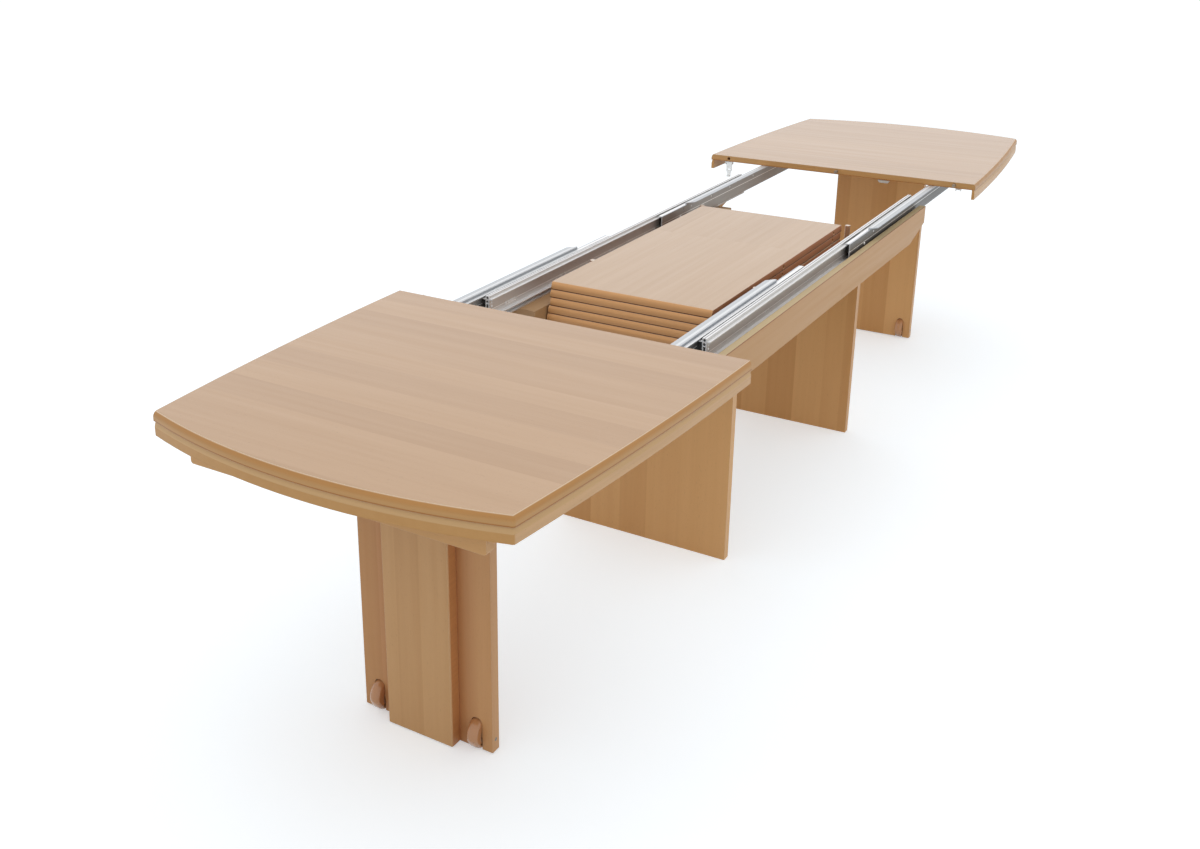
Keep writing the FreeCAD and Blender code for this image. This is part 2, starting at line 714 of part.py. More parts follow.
def make_latch(side):
    """Hinged lever under one corner of a half and the keeper under the other corner."""
    plate = box(f"{LATCH_X} - latch_plate_length / 2", f"{LATCH_X} + latch_plate_length / 2",
                f"{LATCH_Y} - latch_plate_width / 2", f"{LATCH_Y} + latch_plate_width / 2")
    bracket = board(f"{side}_latch_bracket", side, "XY_Plane", plate, PLATE_BOTTOM, "latch_plate_thickness")
    ear = box(f"{LATCH_X} - latch_ear_width / 2", f"{LATCH_X} + latch_ear_width / 2",
              f"{PLATE_BOTTOM} - latch_ear_depth", PLATE_BOTTOM)
    for start in ("latch_ear_gap / 2 + latch_ear_thickness", "-latch_ear_gap / 2"):
        cheek = new_sketch(bracket, "XZ_Plane", f"-({LATCH_Y} + {start})")
        add_loop(cheek, ear)
        extrude(bracket, cheek, "latch_ear_thickness")
    pin = new_sketch(bracket, "XZ_Plane", f"-({LATCH_Y} + latch_ear_gap / 2)")
    add_circle(pin, LATCH_X, LATCH_PIN_Z, "latch_pin_diameter")
    extrude(bracket, pin, "latch_ear_gap")

    width = "(latch_ear_gap - 4 * running_gap)"
    start = f"-({LATCH_Y} + {width} / 2)"
    half = "latch_lever_thickness / 2"
    foot = f"({LATCH_PIN_Z} - latch_lever_length)"
    waist = f"({foot} + latch_tip_length)"
    shoulder = f"({waist} + latch_taper)"
    neck = f"{LATCH_PIN_Z} - latch_eye_diameter / 4"
    lever = [
        (f"{LATCH_Y} - {width} / 2", neck),
        (f"{LATCH_Y} - {width} / 2", shoulder),
        (f"{LATCH_Y} - latch_tip_width / 2", waist),
        (f"{LATCH_Y} - latch_tip_width / 2", foot),
        (f"{LATCH_Y} + latch_tip_width / 2", foot),
        (f"{LATCH_Y} + latch_tip_width / 2", waist),
        (f"{LATCH_Y} + {width} / 2", shoulder),
        (f"{LATCH_Y} + {width} / 2", neck),
    ]
    latch = board(f"{side}_latch", side, "YZ_Plane", lever, f"{LATCH_X} - {half}", "latch_lever_thickness")
    window = new_sketch(latch, "YZ_Plane", f"{LATCH_X} + {half}")
    sill = f"{shoulder} + latch_window_gap"
    add_loop(window, box(f"{LATCH_Y} - latch_window_width / 2", f"{LATCH_Y} + latch_window_width / 2",
                         sill, f"{sill} + latch_window_height"))
    extrude(latch, window, "latch_lever_thickness", "Pocket")
    toe = new_sketch(latch, "XZ_Plane", f"-({LATCH_Y} + latch_tip_width / 2)")
    add_loop(toe, box(f"{LATCH_X} - {half} - latch_toe", f"{LATCH_X} - {half}",
                      foot, f"{foot} + latch_lever_thickness"))
    extrude(latch, toe, "latch_tip_width")
    eye = new_sketch(latch, "XZ_Plane", start)
    add_circle(eye, LATCH_X, LATCH_PIN_Z, "latch_eye_diameter")
    extrude(latch, eye, width)
    drill(latch, "XZ_Plane", start, width,
          [(LATCH_X, LATCH_PIN_Z, "latch_pin_diameter + 2 * running_gap")], True)

    low = f"-{LATCH_Y} - latch_plate_width / 2"
    plate = box(KEEPER_X, f"{LATCH_X} + latch_plate_length / 2", low, f"{low} + latch_plate_width")
    keeper = board(f"{side}_keeper", side, "XY_Plane", plate, PLATE_BOTTOM, "latch_plate_thickness")
    for start in ("keeper_ear_gap / 2 + keeper_ear_thickness", "-keeper_ear_gap / 2"):
        cheek = new_sketch(keeper, "XZ_Plane", f"{LATCH_Y} - ({start})")
        add_loop(cheek, box(KEEPER_X, f"{KEEPER_X} + latch_ear_width",
                            f"{PLATE_BOTTOM} - keeper_ear_depth", PLATE_BOTTOM))
        extrude(keeper, cheek, "keeper_ear_thickness")
    bar = new_sketch(keeper, "XZ_Plane", f"{LATCH_Y} - keeper_ear_gap / 2")
    add_loop(bar, box(KEEPER_X, f"{KEEPER_X} + keeper_bar_width",
                      f"{UNDERSIDE} - keeper_bar_drop", PLATE_BOTTOM))
    extrude(keeper, bar, "keeper_ear_gap")


for half_name in ("near", "far"):
    make_top(half_name)
    make_lip(half_name)
    make_cross_rail(half_name)
    make_leg(half_name)
    make_pilaster(half_name)
    make_rollers(half_name)
    make_buffer(half_name)
    make_slides(half_name)
    make_guides(half_name)
    make_latch(half_name)
make_pins()
make_frame()
make_leaves()
doc.recompute()

for item in doc.Objects:
    if "Invalid" in item.State or "Error" in item.State:
        raise RuntimeError(f"{item.Name} did not build: {item.State}")
os.makedirs("parts", exist_ok=True)
for part in parts:
    shape = part.Shape
    if shape.isNull() or not shape.isValid():
        raise RuntimeError(f"{part.Label} has no valid shape")
    shape.exportStep(f"parts/{part.Label}.step")
    box_now = shape.BoundBox
    print(f"{part.Label:22s} solids {len(shape.Solids)} volume {shape.Volume / 1000:9.1f} "
          f"x {box_now.XMin:8.1f} {box_now.XMax:8.1f} y {box_now.YMin:7.1f} {box_now.YMax:7.1f} "
          f"z {box_now.ZMin:6.1f} {box_now.ZMax:6.1f}")
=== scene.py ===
# %% [markdown]
# # An extending beech table, dressed
# The table stands drawn apart: two half tops on aluminium slides, with spare leaves stacked between
# them. The packed model is the fixed frame, in which every piece already sits where it belongs, in
# metres. The table could be modelled anew here, but then its joints would no longer fit, so the frame
# stays as it is. This lesson adds what a solid model lacks: a camera, light, wood that has grain,
# metal that has drawn lines, and small fittings.

# %% Load the frame
import math

import bmesh
import bpy
from mathutils import Matrix, Vector


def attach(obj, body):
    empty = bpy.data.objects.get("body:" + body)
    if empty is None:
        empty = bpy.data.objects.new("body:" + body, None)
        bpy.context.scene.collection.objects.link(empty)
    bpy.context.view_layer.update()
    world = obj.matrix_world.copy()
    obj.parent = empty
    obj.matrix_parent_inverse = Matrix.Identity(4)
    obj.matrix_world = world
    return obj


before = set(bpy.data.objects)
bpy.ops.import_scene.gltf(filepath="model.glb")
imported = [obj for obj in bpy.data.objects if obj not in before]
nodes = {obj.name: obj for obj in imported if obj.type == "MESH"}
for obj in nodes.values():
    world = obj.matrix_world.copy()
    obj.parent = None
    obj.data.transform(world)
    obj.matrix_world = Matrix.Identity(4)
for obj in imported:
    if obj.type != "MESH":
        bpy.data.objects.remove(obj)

scene = bpy.context.scene
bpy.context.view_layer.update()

# %% [markdown]
# ## Camera
# The table is seen from one end and from above. A camera can be turned by hand until the view looks
# right, but here it was found by fitting the table's own corners to their places in the picture. The
# fit gives a focal length, a small shift of the lens, and the three directions of the camera. Writing
# the directions as the columns of a matrix avoids any guessing with angles.

# %% Camera
EYE = (-3.3110, -1.3921, 1.7193)
RIGHT = Vector((0.531779, -0.846795, -0.004554))
DOWN = Vector((-0.294098, -0.179675, -0.938715))
AHEAD = Vector((0.794154, 0.500650, -0.344616))
SENSOR_WIDTH = 36.0
FOCAL_LENGTH = 38.703
LENS_SHIFT = (0.0667, -0.0699)
lens = bpy.data.cameras.new("camera")
lens.sensor_fit = "HORIZONTAL"
lens.sensor_width = SENSOR_WIDTH
lens.lens = FOCAL_LENGTH
lens.shift_x, lens.shift_y = LENS_SHIFT
camera = bpy.data.objects.new("camera", lens)
turn = Matrix((RIGHT, -DOWN, -AHEAD)).transposed()
camera.matrix_world = Matrix.Translation(EYE) @ turn.to_4x4()
scene.collection.objects.link(camera)
scene.camera = camera
print("camera", [round(value, 3) for value in camera.rotation_euler])

# %% [markdown]
# ## Node helper
# Every finish of this table is a tree of nodes. The links could be written out one by one, but the
# recipe would drown in them. One small class adds a node, sets what is a number and links what is a
# socket, so that each finish below reads like a recipe.


# %% Node helper
class Graph:
    """Adds nodes to one tree; a value that is a socket becomes a link."""

    def __init__(self, tree):
        self.tree = tree

    def add(self, kind, inputs=None, **settings):
        node = self.tree.nodes.new(kind)
        for key, value in settings.items():
            setattr(node, key, value)
        for key, value in (inputs or {}).items():
            if isinstance(value, bpy.types.NodeSocket):
                self.tree.links.new(value, node.inputs[key])
            else:
                node.inputs[key].default_value = value
        return node

    def math(self, operation, first, second=0.0, third=0.0):
        inputs = {0: first, 1: second, 2: third}
        return self.add("ShaderNodeMath", inputs, operation=operation).outputs[0]

    def mix(self, factor, first, second):
        inputs = {0: factor, 6: first, 7: second}
        return self.add("ShaderNodeMix", inputs, data_type="RGBA").outputs[2]

    def span(self, value, low, high, to_low=0.0, to_high=1.0):
        """Moves a range of values to another, held at its ends."""
        inputs = {0: value, 1: low, 2: high, 3: to_low, 4: to_high}
        return self.add("ShaderNodeMapRange", inputs).outputs[0]

    def noise(self, place, stretch, detail=4.0, roughness=0.55):
        spread = self.add("ShaderNodeMapping", {"Vector": place, "Scale": stretch}).outputs[0]
        inputs = {"Vector": spread, "Scale": 1.0, "Detail": detail, "Roughness": roughness}
        return self.add("ShaderNodeTexNoise", inputs).outputs[0]

    def feed(self, value, socket):
        self.tree.links.new(value, socket)


print("node helper:", Graph.__doc__)

# %% [markdown]
# ## Colours
# A maker names a wood by the tone that the eye sees, on the everyday scale from 0 to 255. Shaders
# count light itself, which the eye doesn't see evenly. The tones could be looked up one by one, but a
# small function turns each into light and keeps the tables below readable.


# %% Colours
def tone(red, green, blue):
    """Linear colour from the everyday 0 to 255 scale, by the usual screen curve."""
    values = []
    for level in (red, green, blue):
        level = level / 255
        values.append(level / 12.92 if level <= 0.04045 else ((level + 0.055) / 1.055) ** 2.4)
    return (*values, 1.0)


def darker(colour, share):
    """A colour with its light cut to a share."""
    return tuple(level * share for level in colour[:3]) + (1.0,)


def new_finish(name):
    """An empty material, its graph and its shader."""
    material = bpy.data.materials.new(name)
    material.use_nodes = True
    graph = Graph(material.node_tree)
    shader = material.node_tree.nodes["Principled BSDF"]
    return material, graph, shader


print("a middle grey of 128 is", round(tone(128, 128, 128)[0], 3), "in light")

# %% [markdown]
# ## Floor
# The table stands on the white floor of a studio. A bent backdrop would do as well, but a flat sheet
# under a white world has no bend to hide in other views. The sheet is pale, and what the camera and
# the reflections see of it gets a little extra light. So it reaches white in the open, keeps a soft
# grey shade below the table, and gives no more light to the wood.

# %% Floor
FLOOR_HALF = 30.0
FLOOR_LIFT = 0.40
FLOOR_COLOUR = (0.75, 0.81, 0.86, 1.0)
FLOOR_ROUGHNESS = 0.9
WHITE = (1.0, 1.0, 1.0, 1.0)


def seen_directly(graph):
    """1 for what the camera, reflections and glass see, and 0 for light that falls on things."""
    path = graph.add("ShaderNodeLightPath").outputs
    seen = graph.math("MAXIMUM", path["Is Camera Ray"], path["Is Glossy Ray"])
    return graph.math("MAXIMUM", seen, path["Is Transmission Ray"])


sheet = bpy.data.meshes.new("floor")
corners = [(x * FLOOR_HALF, y * FLOOR_HALF, 0) for x, y in ((-1, -1), (1, -1), (1, 1), (-1, 1))]
sheet.from_pydata(corners, [], [(0, 1, 2, 3)])
floor = bpy.data.objects.new("floor", sheet)
scene.collection.objects.link(floor)
floor_finish, graph, shader = new_finish("studio_floor")
shader.inputs["Base Color"].default_value = FLOOR_COLOUR
shader.inputs["Roughness"].default_value = FLOOR_ROUGHNESS
shader.inputs["Specular IOR Level"].default_value = 0.0
shader.inputs["Emission Color"].default_value = WHITE
lift = graph.math("MULTIPLY", seen_directly(graph), FLOOR_LIFT)
graph.feed(lift, shader.inputs["Emission Strength"])
sheet.materials.append(floor_finish)
print("floor", FLOOR_HALF * 2, "m wide")

# %% [markdown]
# ## World and lamp
# Studio light is soft and comes from all sides, a little more from above. A ring of lamps could give
# it, but an even world with one broad lamp overhead is simpler and treats every view alike. The
# camera and the reflections see the world as plain white, so the metal has something bright to show.

# %% World and lamp
WORLD_LEVEL = 0.82
LAMP_WATTS = 30.0
LAMP_SIZE = (6.0, 4.0)
LAMP_PLACE = (0.0, 0.0, 3.4)
world = bpy.data.worlds.new("studio")
world.use_nodes = True
world.node_tree.nodes.clear()
graph = Graph(world.node_tree)
even = graph.add("ShaderNodeBackground", {"Color": WHITE, "Strength": WORLD_LEVEL}).outputs[0]
white = graph.add("ShaderNodeBackground", {"Color": WHITE, "Strength": 1.0}).outputs[0]
both = graph.add("ShaderNodeMixShader", {0: seen_directly(graph), 1: even, 2: white}).outputs[0]
graph.add("ShaderNodeOutputWorld", {"Surface": both})
scene.world = world
lamp = bpy.data.lights.new("overhead", "AREA")
lamp.shape = "RECTANGLE"
lamp.size, lamp.size_y = LAMP_SIZE
lamp.energy = LAMP_WATTS
overhead = bpy.data.objects.new("overhead", lamp)
overhead.location = LAMP_PLACE
scene.collection.objects.link(overhead)
scene.view_settings.view_transform = "Standard"
print("lamp", LAMP_WATTS, "W, world", WORLD_LEVEL)

# %% [markdown]
# ## Where a point lies
# On a real board the stain and the lacquer differ between its faces, its edges and its corners, and so
# does the painted light below. Masks could be painted for that by hand, but a node tree already knows
# where a point lies and which way it faces. This class reads both once, so that every finish below can
# ask for them.

# %% Where a point lies
AXES = "XYZ"


class Spot:
    """Where a point of a finish lies on the table, and which way it faces."""

    def __init__(self, graph):
        self.place = graph.add("ShaderNodeTexCoord").outputs["Object"]
        self.at = graph.add("ShaderNodeSeparateXYZ", {0: self.place}).outputs
        self.normal = graph.add("ShaderNodeNewGeometry").outputs["Normal"]
        self.way = graph.add("ShaderNodeSeparateXYZ", {0: self.normal}).outputs
        self.lean = [graph.math("ABSOLUTE", way) for way in self.way]


print("point helper:", Spot.__doc__)

# %% [markdown]
# ## Veneer
# Beech is a pale, even wood. What shows on the table is the run of veneer leaves beside each other,
# each with its own tone, long soft growth lines, and tiny dark flecks. A picture of wood could be
# wrapped around each board, but a pattern made of nodes has no seams and runs in any direction. The
# leaves come from a one-dimensional cell pattern across the grain. Lines, clouds and flecks are noise
# that is drawn out along the grain.

# %% Veneer
FAR_SHIFT = 13.7
LEAF_SPREAD = 0.85
LINE_STRETCH = (1.6, 55.0)
CLOUD_STRETCH = (1.1, 7.0)
FLECK_STRETCH = (90.0, 900.0)
FLECK_RANGE = (0.66, 0.74)
LINE_SHARE = 0.55
CLOUD_SHARE = 0.5
DEPTH_LOW = 0.3
DEPTH_HIGH = 0.8


def drawn_out(grain, stretch):
    """Noise scales for the three axes: one along the grain, another across it."""
    return [stretch[0] if axis == grain else stretch[1] for axis in AXES]


def veneer(graph, spot, grain, across, band, contrast):
    """Depth of tone, growth lines and flecks of veneer leaves that lie side by side."""
    far_side = graph.math("GREATER_THAN", spot.at[0], 0.0)
    far_side = graph.math("MULTIPLY", far_side, FAR_SHIFT)
    run = graph.math("MULTIPLY_ADD", spot.at[AXES.index(across)], 1.0 / band, far_side)
    cells = graph.add("ShaderNodeTexVoronoi", {"W": run, "Scale": 1.0, "Randomness": LEAF_SPREAD},
                      voronoi_dimensions="1D")
    leaf = graph.add("ShaderNodeSeparateColor", {0: cells.outputs["Color"]}).outputs[0]
    shift = graph.add("ShaderNodeCombineXYZ", {0: leaf, 1: leaf, 2: leaf}).outputs[0]
    moved = graph.add("ShaderNodeVectorMath", {0: spot.place, 1: shift}, operation="ADD").outputs[0]
    lines = graph.noise(moved, drawn_out(grain, LINE_STRETCH), detail=6.0, roughness=0.62)
    cloud = graph.noise(moved, drawn_out(grain, CLOUD_STRETCH), detail=3.0)
    flecks = graph.noise(moved, drawn_out(grain, FLECK_STRETCH), detail=2.0)
    soft = graph.math("MULTIPLY", cloud, CLOUD_SHARE)
    fine = graph.math("MULTIPLY_ADD", lines, LINE_SHARE, soft)
    depth = graph.math("MULTIPLY_ADD", leaf, contrast, fine)
    depth = graph.span(depth, DEPTH_LOW, DEPTH_HIGH + contrast)
    return depth, lines, graph.span(flecks, *FLECK_RANGE)


print("growth lines about", round(1000 / LINE_STRETCH[1]), "mm apart")

# %% [markdown]
# ## Nosed edges
# The nosed edges of the tops and leaves are solid strips of a deeper ochre. A dark line of painted
# shade lies at their foot, where the board below meets them, and a painted highlight along their head.
# Separate strips could be modelled, but they are glued and sanded flush, so the colour alone tells
# them apart: by the way that a face looks, and by its height.

# %% Nosed edges
# Pale tone of rubbed arrises, also used as a painted highlight on them and on the heads of the noses.
PALE_WEAR_AND_GLINT = tone(242, 224, 198)
STREAK_STRETCH = (3.0, 3.0, 160.0)
STREAK_RANGE = (0.35, 0.65)
STREAK_SHADE = 0.92
EDGE_LEAN = (0.95, 0.85)
FOOT_RANGE = (0.08, 0.16)
SHADE_RANGE = (0.1, 0.8)
HEAD_RANGE = (0.92, 0.97)


def faces_stained_and_lit(graph, spot, colour, facing):
    """Faces that look a certain way get a colour of their own, with fine level streaks: some are
    stains of the wood, others painted light.
    """
    streaks = graph.span(graph.noise(spot.place, STREAK_STRETCH), *STREAK_RANGE)
    for axis, reach, stain_and_light in facing:
        streaked_tone = graph.mix(streaks, stain_and_light, darker(stain_and_light, STREAK_SHADE))
        colour = graph.mix(graph.span(spot.lean[AXES.index(axis)], *reach), colour, streaked_tone)
    return colour


def seam_shade_and_glint(graph, spot, colour, base, step, stain_and_light, grade, shine):
    """A dark line of painted shade at the foot of an edge, painted shade that fades upwards by a
    grade, and a painted highlight at its head, at each step of height.
    """
    height = graph.math("DIVIDE", graph.math("SUBTRACT", spot.at[2], base), step)
    level = graph.math("FRACT", height)
    edge = graph.span(spot.lean[2], *EDGE_LEAN)
    foot_shade = graph.span(level, *FOOT_RANGE, 1.0, 0.0)
    foot_shade = graph.math("MAXIMUM", foot_shade, graph.span(level, *SHADE_RANGE, grade, 0.0))
    colour = graph.mix(graph.math("MULTIPLY", foot_shade, edge), colour, stain_and_light)
    glint = graph.span(level, *HEAD_RANGE, 0.0, shine)
    return graph.mix(graph.math("MULTIPLY", glint, edge), colour, PALE_WEAR_AND_GLINT)


print("streaks about", round(1000 / STREAK_STRETCH[2]), "mm apart")

# %% [markdown]
# ## Lines and shades
# A long rail has a dark line along its outer upper arris, and a reddish shade gathers in the corners
# beside the leg's pilaster. Light alone could draw them, but in so soft a light they would be too
# faint, so each is painted into the colour, the corner as painted shade, placed by its distance from
# an edge of the piece.

# %% Lines and shades
LINE_SOFTNESS = 0.0004
CORNER_SHARE = 0.55
CREASE_RANGE = (0.0015, 0.004)
CREASE_SHARE = 0.8
OUTER_FACE = 0.8


def arris_line(graph, spot, colour, outer, upper, stain_and_light):
    """A thin line along the outer upper arris of a rail."""
    beside = graph.math("ABSOLUTE", spot.at[1])
    beyond = graph.span(beside, outer, outer + LINE_SOFTNESS)
    above = graph.span(spot.at[2], upper, upper + LINE_SOFTNESS)
    return graph.mix(graph.math("MULTIPLY", beyond, above), colour, stain_and_light)


def corner_shade(graph, spot, colour, edge, reach, stain_and_light):
    """Painted shade that deepens towards an inner corner beside the middle of the leg."""
    beside = graph.math("ABSOLUTE", spot.at[1])
    broad = graph.span(beside, edge, edge + reach, CORNER_SHARE, 0.0)
    first, last = CREASE_RANGE
    crease = graph.span(beside, edge + first, edge + last, CREASE_SHARE, 0.0)
    fade = graph.math("MAXIMUM", broad, crease)
    fade = graph.math("MULTIPLY", fade, graph.math("GREATER_THAN", spot.lean[0], OUTER_FACE))
    return graph.mix(fade, colour, stain_and_light)


print("a crease is", CREASE_RANGE[1] * 1000, "mm wide")

# %% [markdown]
# ## Beech
# The finished wood is veneer, stains, painted light and lacquer together. Every arris of the table is
# a little rounded, rubbed pale and catching the light. Rounding each board's mesh would cost many
# faces, so a bevel node rounds the shading instead, and where the rounded direction departs from the
# true one, there is an edge to paint pale: partly wear, partly a painted highlight.
# Lacquer lies thick on flat tops and thin on edges, which the coat's weight follows.

# %% Beech
LINE_RANGE = (0.3, 0.7)
FLECK_DEPTH = 0.45
FLECK_SHADE = 0.6
ARRIS_ROUND = 0.0012
WEAR_AND_GLINT_RANGE = (0.995, 0.92)
LACQUER_RANGE = (0.9, 0.99)
LACQUER_ROUGHNESS = 0.18
GRAIN_RELIEF = {"Strength": 0.12, "Distance": 0.0004}
WOOD_INDEX = 1.47
WOOD_SPECULAR = 0.3


def beech(name, grain, across, light, dark, band, contrast=0.5, facing=(), gloss=(0.34, 0.46),
          coat=0.1, edge_coat=None, rub_and_glint=0.4, seam=None, arris=None, corner=None):
    """Beech with its grain along one axis and veneer leaves side by side along another."""
    material, graph, shader = new_finish(name)
    spot = Spot(graph)
    depth, lines, flecks = veneer(graph, spot, grain, across, band, contrast)
    colour = faces_stained_and_lit(graph, spot, graph.mix(depth, light, dark), facing)
    if seam:
        colour = seam_shade_and_glint(graph, spot, colour, *seam)
    if arris:
        colour = arris_line(graph, spot, colour, *arris)
    if corner:
        colour = corner_shade(graph, spot, colour, *corner)
    pores = graph.math("MULTIPLY", flecks, FLECK_DEPTH)
    colour = graph.mix(pores, colour, darker(dark, FLECK_SHADE))
    eased = graph.add("ShaderNodeBevel", {"Radius": ARRIS_ROUND}, samples=4).outputs[0]
    # Arrises painted pale: partly wear, partly a painted highlight where the rounded edge catches
    # light.
    if rub_and_glint:
        alike = graph.add("ShaderNodeVectorMath", {0: eased, 1: spot.normal}, operation="DOT_PRODUCT")
        wear_and_glint = graph.span(alike.outputs["Value"], *WEAR_AND_GLINT_RANGE, 0.0, rub_and_glint)
        colour = graph.mix(wear_and_glint, colour, PALE_WEAR_AND_GLINT)
    graph.feed(colour, shader.inputs["Base Color"])
    graph.feed(graph.span(lines, *LINE_RANGE, *gloss), shader.inputs["Roughness"])
    relief = {"Height": graph.math("SUBTRACT", lines, flecks), "Normal": eased, **GRAIN_RELIEF}
    graph.feed(graph.add("ShaderNodeBump", relief).outputs[0], shader.inputs["Normal"])
    shader.inputs["IOR"].default_value = WOOD_INDEX
    shader.inputs["Specular IOR Level"].default_value = WOOD_SPECULAR
    shader.inputs["Coat Roughness"].default_value = LACQUER_ROUGHNESS
    shader.inputs["Coat Weight"].default_value = coat
    if edge_coat is not None:
        lacquer = graph.span(spot.way[2], *LACQUER_RANGE, edge_coat, coat)
        graph.feed(lacquer, shader.inputs["Coat Weight"])
    return material


print("arrises rounded by", ARRIS_ROUND * 1000, "mm")

# %% [markdown]
# ## Tops and leaves
# The half tops are veneered with the grain across the table, and the stored leaves, which lie turned,
# with the grain along it. Their noses have stains of their own; the steep lower part of a top's nose,
# and the leaning band and upright sides of the lip below the tops, are painted lighter as painted
# light. One shared wood would be quicker, but in the light these pieces differ plainly, so each gets
# its own pair of tones. A seam repeats with the thickness of the boards, which is read from the frame,
# and each stain and painted light has a range of directions that it covers.

# %% Tops and leaves
NOSED = (0.95, 0.88)
STEEP = (0.45, 0.1)
SQUARE = (0.8, 0.95)
LEANING = (0.08, 0.18)
# Painted light: the steep lower part of a top's nose and the lip's leaning band and upright sides are
# lighter; the noses' ochre is their stain.
TOP_NOSE = (("Z", NOSED, tone(186, 135, 78)), ("Z", STEEP, tone(194, 148, 94)))
LIP_BANDS = (("Y", SQUARE, tone(210, 168, 122)), ("Z", LEANING, tone(208, 168, 118)))
LEAF_NOSE = (("Z", NOSED, tone(214, 160, 106)), ("Y", SQUARE, tone(198, 134, 96)))
DECIMALS = 6


def box_of(name):
    """Lowest and highest corner of a piece of the frame, to a thousandth of a millimetre."""
    axes = list(zip(*nodes[name].bound_box))
    return [tuple(round(pick(axis), DECIMALS) for axis in axes) for pick in (min, max)]


def seam_of(name, stain_and_light, grade, shine):
    """A seam at the foot of a board: its level, the step to the next board, and how it looks."""
    low, high = box_of(name)
    return low[2], round(high[2] - low[2], DECIMALS), stain_and_light, grade, shine


woods = {
    "beech_top": beech("beech_top", "Y", "X", tone(193, 155, 116), tone(175, 136, 97), band=0.09,
                       contrast=0.38, facing=TOP_NOSE, coat=0.85, edge_coat=0.05, rub_and_glint=0.45,
                       # Painted shade as a dark line at the foot of the nose, and a painted highlight
                       # at its head.
                       seam=seam_of("near_top", tone(164, 106, 50), grade=0.0, shine=0.6)),
    "beech_edge": beech("beech_edge", "X", "Z", tone(198, 151, 94), tone(186, 138, 82), band=0.05,
                        contrast=0.2, facing=LIP_BANDS, coat=0.0, rub_and_glint=0.0),
    "beech_leaf": beech("beech_leaf", "X", "Y", tone(195, 161, 126), tone(181, 146, 110), band=0.12,
                        contrast=0.25, facing=LEAF_NOSE, coat=0.85, edge_coat=0.05, rub_and_glint=0.5,
                        # Painted shade as a dark line under each stacked leaf, darker towards each
                        # end's foot, with a painted highlight at its head.
                        seam=seam_of("leaf_5", tone(70, 38, 20), grade=0.3, shine=0.15)),
}
print("woods", sorted(woods))

# %% [markdown]
# ## Legs, panels and rails
# The legs and the centre panels are upright planks with clear steps of tone, and a reddish painted
# shade stands beside the leg's pilaster and on the pilaster's sides. The long rails are plain boards
# with a pale upper face, the pegs are turned, with a painted highlight on their heads, and the
# rollers are turned and polished. The bearers and the shelf are darkened as painted shade. All of them
# come from the same recipe with other tones and another run of the grain, because they are one kind
# of wood.

# %% Legs, panels and rails
ARRIS_INSET = 0.0015
CORNER_REACH = 0.05
pilaster_half = box_of("near_leg_pilaster")[1][1]
_, rail_side, rail_top = box_of("left_rail")[1]
# Painted shade: reddish, in the corners beside the pilaster and on the pilaster's sides.
LEG_CORNER = (pilaster_half, CORNER_REACH, tone(166, 102, 60))
PILASTER_SIDE = (("Y", SQUARE, tone(196, 134, 82)),)
RAIL_FACE = (("Z", SQUARE, tone(196, 172, 130)),)
RAIL_ARRIS = (rail_side - ARRIS_INSET, rail_top - ARRIS_INSET, tone(140, 78, 36))
# Painted highlight: the tops of the pegs are lighter.
PEG_HEAD = (("Z", SQUARE, tone(226, 208, 188)),)
woods |= {
    "beech_leg": beech("beech_leg", "Z", "Y", tone(206, 155, 104), tone(184, 132, 82), band=0.06,
                       contrast=0.25, corner=LEG_CORNER),
    "beech_pilaster": beech("beech_pilaster", "Z", "Y", tone(206, 161, 111), tone(186, 138, 88),
                            band=0.06, contrast=0.25, facing=PILASTER_SIDE),
    "beech_panel": beech("beech_panel", "Z", "Y", tone(224, 174, 116), tone(194, 139, 82), band=0.08,
                         contrast=0.8),
    "beech_rail": beech("beech_rail", "X", "Z", tone(199, 153, 99), tone(187, 139, 85), band=0.3,
                        contrast=0.2, facing=RAIL_FACE, coat=0.0, rub_and_glint=0.0, arris=RAIL_ARRIS),
    "beech_cross": beech("beech_cross", "Y", "Z", tone(214, 165, 108), tone(200, 150, 93), band=0.3,
                         contrast=0.2),
    # Painted shade: the bearer and shelf wood is darker all over, for the shade under the tops.
    "beech_bearer": beech("beech_bearer", "X", "Y", tone(176, 140, 100), tone(154, 116, 78), band=0.2,
                          contrast=0.3, rub_and_glint=0.2),
    "beech_peg": beech("beech_peg", "Z", "X", tone(190, 146, 112), tone(162, 118, 86), band=0.05,
                       contrast=0.3, facing=PEG_HEAD, coat=0.9),
    "beech_roller": beech("beech_roller", "Z", "X", tone(204, 150, 102), tone(178, 122, 78), band=0.03,
                          contrast=0.3, gloss=(0.2, 0.28), coat=0.9),
}
print("woods", len(woods))

# %% [markdown]
# ## Metal
# Extruded aluminium has fine lines along its length, from the die that it was drawn through, and a
# satin sheen. Its ribs and grooves show as bright and dark strips. All could be cut into the mesh, but
# many are shallower than a millimetre, so only the larger ones are in the frame and the others are
# painted as light and shade: strips on top by their distance from the middle of the beam, as painted
# highlights and the painted shade of a slit; walls painted dimmer as shade by the way that they face;
# and one pressed line by its height, as a painted highlight.

# %% Metal
BEAM_LOW, BEAM_HIGH = box_of("left_beam")
BEAM_Y = round((BEAM_LOW[1] + BEAM_HIGH[1]) / 2, DECIMALS)
OUTER = 1.0
INNER = -1.0
# Painted highlight: the pale colour of the pressed line on the walls.
PRESSED_LINE_HIGHLIGHT = tone(252, 252, 250)
PRESSED_RANGE = (0.0005, 0.0012)
DRAWN_SHADE = 0.86
STRIP_CORE = 0.6
WALL_LEAN = (0.6, 0.9)
FLAT_LEAN = (0.5, 0.8)
METAL_RELIEF = {"Strength": 0.1, "Distance": 0.0003}


